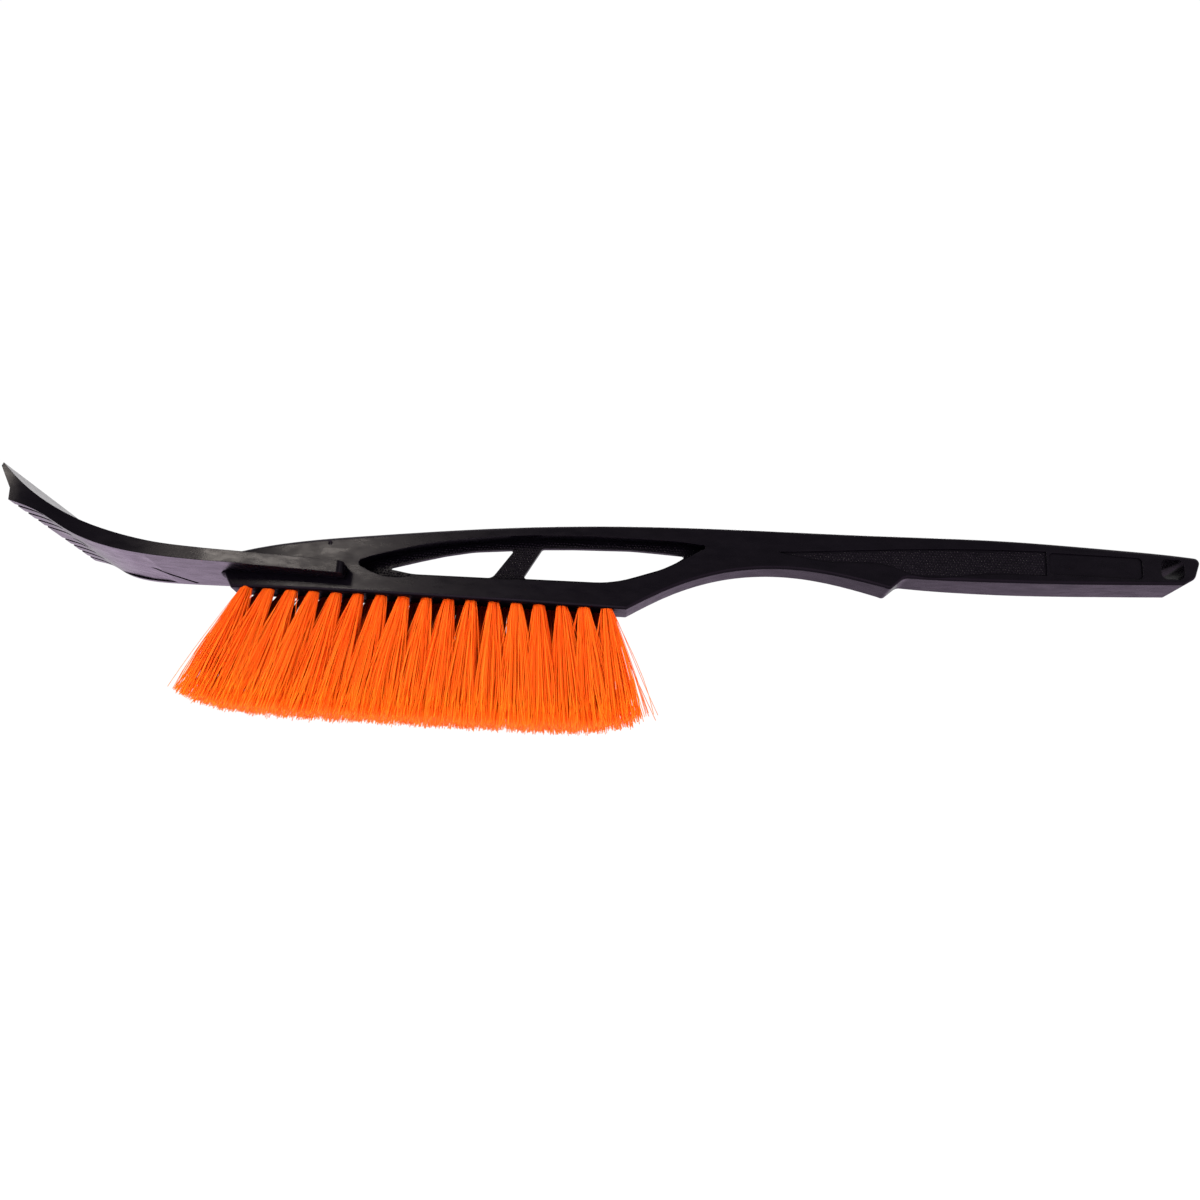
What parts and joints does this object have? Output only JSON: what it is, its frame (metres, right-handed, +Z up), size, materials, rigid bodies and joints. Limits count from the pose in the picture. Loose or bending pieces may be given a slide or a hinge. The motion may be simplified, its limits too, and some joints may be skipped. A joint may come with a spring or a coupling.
{
  "type": "snow brush with ice scraper",
  "caption": "Long moulded snow brush: a bristle block under an arched bridge, a straight grip with a hang hole, and a flared, forked ice scraper blade at the front.",
  "frame": {"origin": "on the plane of the bristle tips, under the middle of the brush's length and width", "axes": "+X from the scraping edge to the handle end, +Z up from the bristle tips to the handle, +Y to the side"},
  "size_m": [0.6599, 0.1098, 0.1221],
  "materials": {
    "handle_plastic": "semi-gloss black moulded plastic, pebbled on the grip and on the bridge web",
    "scraper_plastic": "glossy black moulded plastic",
    "bristles": "bright orange filaments, redder at the tips",
    "anchor_wire": "plain flat wire"
  },
  "bodies": {
    "root": {"body": "handle_plastic", "scraper": "scraper_plastic", "tuft_front_01": "bristles", "tuft_front_02": "bristles", "tuft_front_03": "bristles", "tuft_front_04": "bristles", "tuft_front_05": "bristles", "tuft_front_06": "bristles", "tuft_front_07": "bristles", "tuft_front_08": "bristles", "tuft_front_09": "bristles", "tuft_front_10": "bristles", "tuft_front_11": "bristles", "tuft_front_12": "bristles", "tuft_front_13": "bristles", "tuft_front_14": "bristles", "tuft_front_15": "bristles", "tuft_front_16": "bristles", "tuft_front_17": "bristles", "tuft_rear_01": "bristles", "tuft_rear_02": "bristles", "tuft_rear_03": "bristles", "tuft_rear_04": "bristles", "tuft_rear_05": "bristles", "tuft_rear_06": "bristles", "tuft_rear_07": "bristles", "tuft_rear_08": "bristles", "tuft_rear_09": "bristles", "tuft_rear_10": "bristles", "tuft_rear_11": "bristles", "tuft_rear_12": "bristles", "tuft_rear_13": "bristles", "tuft_rear_14": "bristles", "tuft_rear_15": "bristles", "tuft_rear_16": "bristles", "tuft_anchors": "anchor_wire"}
  },
  "joints": []
}
